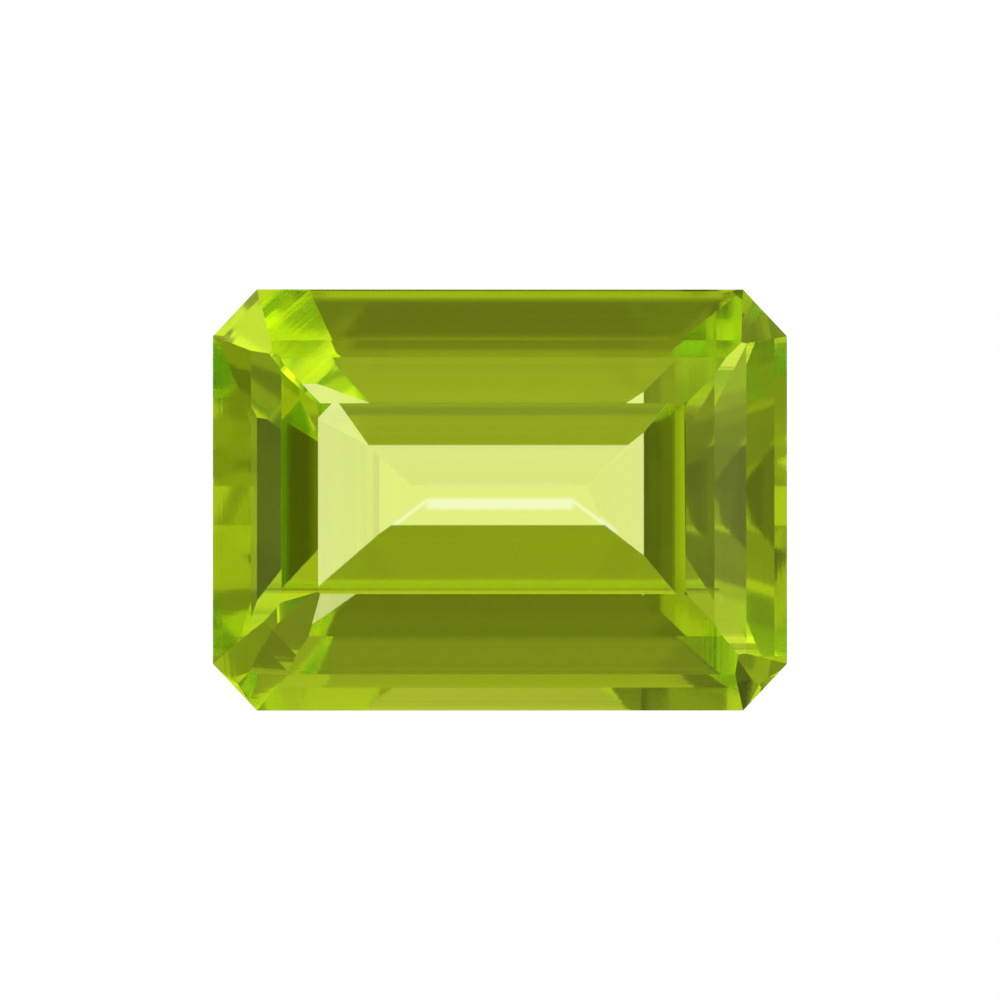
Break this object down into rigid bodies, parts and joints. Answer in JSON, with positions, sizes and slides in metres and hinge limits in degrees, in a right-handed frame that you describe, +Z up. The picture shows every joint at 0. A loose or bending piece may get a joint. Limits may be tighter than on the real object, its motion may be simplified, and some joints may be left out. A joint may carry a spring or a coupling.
{
  "type": "cut gemstone",
  "caption": "Emerald-cut peridot: a clear olive-green step-cut gemstone with clipped corners, lying on one of its long lower facets.",
  "frame": {"origin": "middle of the stone's bounding box, at the bottom, on the surface that the stone lies on", "axes": "+X along the stone's length, +Z up, and the table faces up and towards -Y"},
  "size_m": [0.015, 0.0092, 0.0075],
  "materials": {
    "peridot": "polished"
  },
  "bodies": {
    "root": {"peridot": "peridot"}
  },
  "joints": []
}
